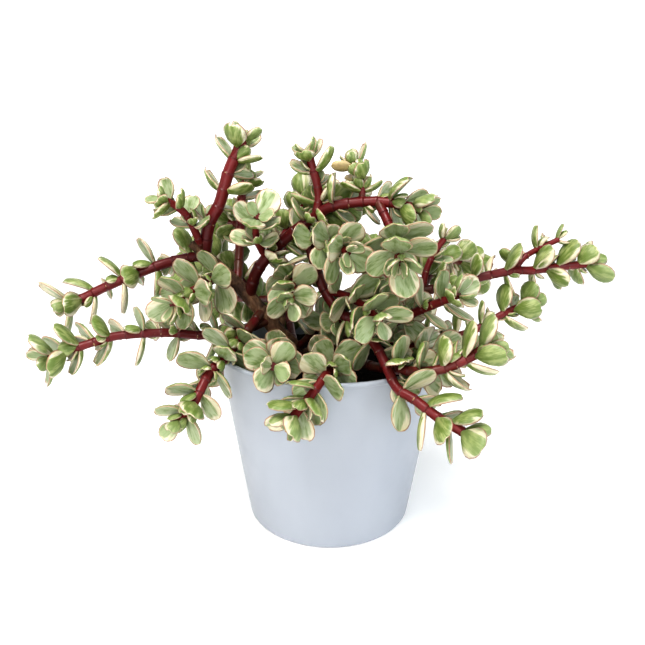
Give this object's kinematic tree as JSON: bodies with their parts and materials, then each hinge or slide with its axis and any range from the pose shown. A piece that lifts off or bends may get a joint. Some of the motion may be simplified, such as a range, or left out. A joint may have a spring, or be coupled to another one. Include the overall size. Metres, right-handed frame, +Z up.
{
  "type": "potted elephant bush",
  "caption": "Bushy variegated succulent with red stems and thick round leaves, growing from dark soil in a plain tapered white pot that stands on its flat base.",
  "frame": {"origin": "centre of the pot's flat base", "axes": "+Z up along the pot's axis, -Y towards the front, +X to the right seen from the front"},
  "size_m": [0.3466, 0.2221, 0.2448],
  "materials": {
    "pot_white": "smooth satin moulded plastic, cool white",
    "soil_black": "dark crumbly potting soil",
    "bark_brown": "rough brown bark with shallow cracks",
    "shoot": "burgundy ringed stems with fleshy green leaves edged in cream",
    "leaf_variegated": "fleshy leaf, green in the middle with a broad cream edge and a thin pink rim"
  },
  "bodies": {
    "root": {"back_centre": "shoot", "back_high": "shoot", "back_inner": "shoot", "back_left": "shoot", "back_low": "shoot", "back_right": "shoot", "back_rim_left": "shoot", "back_rim_right": "shoot", "back_upright": "shoot", "centre_front": "shoot", "centre_high": "shoot", "centre_low": "shoot", "centre_right": "shoot", "crown": "shoot", "crown_behind": "shoot", "crown_small": "shoot", "crown_top": "shoot", "facing": "shoot", "facing_leaf_1": "leaf_variegated", "facing_leaf_2": "leaf_variegated", "facing_leaf_3": "leaf_variegated", "facing_leaf_4": "leaf_variegated", "facing_leaf_5": "leaf_variegated", "facing_leaf_6": "leaf_variegated", "facing_leaf_7": "leaf_variegated", "facing_leaf_8": "leaf_variegated", "front_left": "shoot", "front_right": "shoot", "inner_front": "shoot", "inner_right": "shoot", "left_back": "shoot", "left_lower": "shoot", "left_middle": "shoot", "left_middle_leaf_1": "leaf_variegated", "left_middle_leaf_2": "leaf_variegated", "left_middle_leaf_3": "leaf_variegated", "left_middle_leaf_4": "leaf_variegated", "left_middle_leaf_5": "leaf_variegated", "left_small": "shoot", "left_tall": "shoot", "left_upper": "shoot", "pot": "pot_white", "right_back": "shoot", "right_lower": "shoot", "right_lower_leaf_1": "leaf_variegated", "right_lower_leaf_2": "leaf_variegated", "right_lower_leaf_3": "leaf_variegated", "right_lower_leaf_4": "leaf_variegated", "right_lower_leaf_5": "leaf_variegated", "right_middle": "shoot", "right_side": "shoot", "right_small": "shoot", "right_upper": "shoot", "rim_inner": "shoot", "rim_left": "shoot", "rim_right": "shoot", "soil": "soil_black", "trunk": "bark_brown"}
  },
  "joints": []
}
